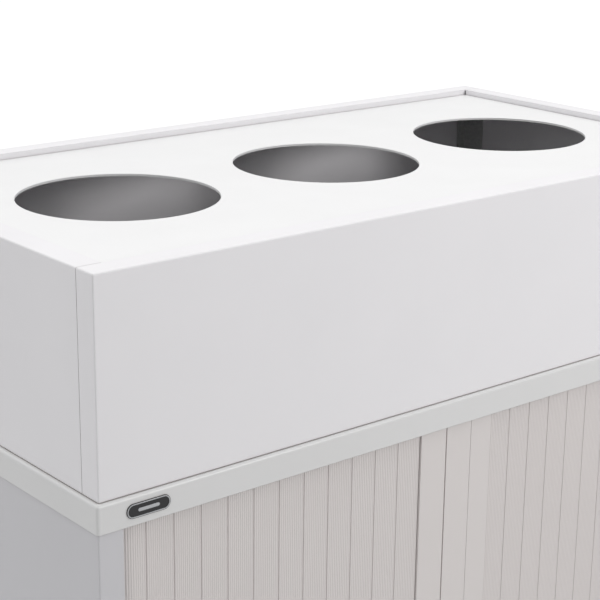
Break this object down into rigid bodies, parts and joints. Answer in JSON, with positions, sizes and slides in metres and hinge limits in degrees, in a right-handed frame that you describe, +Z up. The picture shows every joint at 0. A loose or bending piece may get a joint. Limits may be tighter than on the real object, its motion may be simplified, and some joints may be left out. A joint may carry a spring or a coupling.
{
  "type": "recycling bin station",
  "caption": "Steel shutter-door office cupboard with a raised bin top whose recessed lid has round drop holes over inner bins.",
  "frame": {"origin": "on the floor, under the middle of the cupboard", "axes": "+X to the right as seen from the front, along the width; +Y from front to back; +Z up"},
  "size_m": [0.9, 0.484, 1.216],
  "materials": {
    "bin_top_paint": "satin white powder coat",
    "lid_paint": "satin white powder coat",
    "cap_paint": "satin white powder coat",
    "cabinet_paint": "satin white powder coat",
    "zinc_steel": "bright zinc plate",
    "badge_black": "gloss black",
    "badge_silver": "satin silver",
    "track_plastic": "moulded off-white",
    "shutter_plastic": "extruded, warm light grey",
    "stile_plastic": "extruded, warm light grey",
    "pull_plastic": "moulded light grey",
    "lock_chrome": "bright nickel",
    "bin_plastic": "moulded dark grey",
    "foot_plastic": "moulded black"
  },
  "bodies": {
    "cabinet": {"back_panel": "cabinet_paint", "back_screws": "zinc_steel", "badge_inlay": "badge_silver", "badge_plate": "badge_black", "base_rail": "cabinet_paint", "bin_centre": "bin_plastic", "bin_left": "bin_plastic", "bin_right": "bin_plastic", "bin_top_back": "bin_top_paint", "bin_top_front": "bin_top_paint", "bin_top_left": "bin_top_paint", "bin_top_nuts": "zinc_steel", "bin_top_right": "bin_top_paint", "bin_top_screws": "zinc_steel", "cabinet_side_left": "cabinet_paint", "cabinet_side_right": "cabinet_paint", "cabinet_top": "cap_paint", "corner_brace_back_left": "zinc_steel", "corner_brace_back_right": "zinc_steel", "corner_brace_front_left": "zinc_steel", "corner_brace_front_right": "zinc_steel", "floor_tray": "cabinet_paint", "foot_nuts": "zinc_steel", "header_rail": "cabinet_paint", "shutter_left": "shutter_plastic", "shutter_right": "shutter_plastic", "side_liner_left": "cabinet_paint", "side_liner_right": "cabinet_paint", "track_bottom_left": "track_plastic", "track_bottom_right": "track_plastic", "track_top_left": "track_plastic", "track_top_right": "track_plastic"},
    "lid": {"lid": "lid_paint"},
    "door_left": {"stile_left": "stile_plastic", "pull_left": "pull_plastic", "lock_case": "lock_chrome"},
    "door_right": {"stile_right": "stile_plastic", "pull_right": "pull_plastic", "lock_keeper": "zinc_steel"},
    "lock": {"lock_barrel": "lock_chrome", "lock_tongue": "zinc_steel"},
    "foot_front_left": {"foot_pad_front_left": "foot_plastic", "foot_stem_front_left": "zinc_steel"},
    "foot_front_right": {"foot_pad_front_right": "foot_plastic", "foot_stem_front_right": "zinc_steel"},
    "foot_back_left": {"foot_pad_back_left": "foot_plastic", "foot_stem_back_left": "zinc_steel"},
    "foot_back_right": {"foot_pad_back_right": "foot_plastic", "foot_stem_back_right": "zinc_steel"}
  },
  "joints": [
    {"name": "lid_lift", "type": "slide", "parent": "cabinet", "child": "lid", "axis": [0, 0, 1], "range_m": [0, 0.06]},
    {"name": "left_door_slide", "type": "slide", "parent": "cabinet", "child": "door_left", "axis": [-1, 0, 0], "range_m": [0, 0.3501], "deforming": ["shutter_left"]},
    {"name": "right_door_slide", "type": "slide", "parent": "cabinet", "child": "door_right", "axis": [1, 0, 0], "range_m": [0, 0.3971], "deforming": ["shutter_right"]},
    {"name": "lock_turn", "type": "hinge", "parent": "door_left", "child": "lock", "pos_m": [-0.02075, -0.231, 0.56], "axis": [0, 1, 0], "range_deg": [0, 90]},
    {"name": "foot_front_left_turn", "type": "hinge", "parent": "cabinet", "child": "foot_front_left", "pos_m": [-0.4335, -0.21, 0], "axis": [0, 0, 1], "continuous": true},
    {"name": "foot_front_right_turn", "type": "hinge", "parent": "cabinet", "child": "foot_front_right", "pos_m": [0.4335, -0.21, 0], "axis": [0, 0, 1], "continuous": true},
    {"name": "foot_back_left_turn", "type": "hinge", "parent": "cabinet", "child": "foot_back_left", "pos_m": [-0.4335, 0.21, 0], "axis": [0, 0, 1], "continuous": true},
    {"name": "foot_back_right_turn", "type": "hinge", "parent": "cabinet", "child": "foot_back_right", "pos_m": [0.4335, 0.21, 0], "axis": [0, 0, 1], "continuous": true}
  ]
}
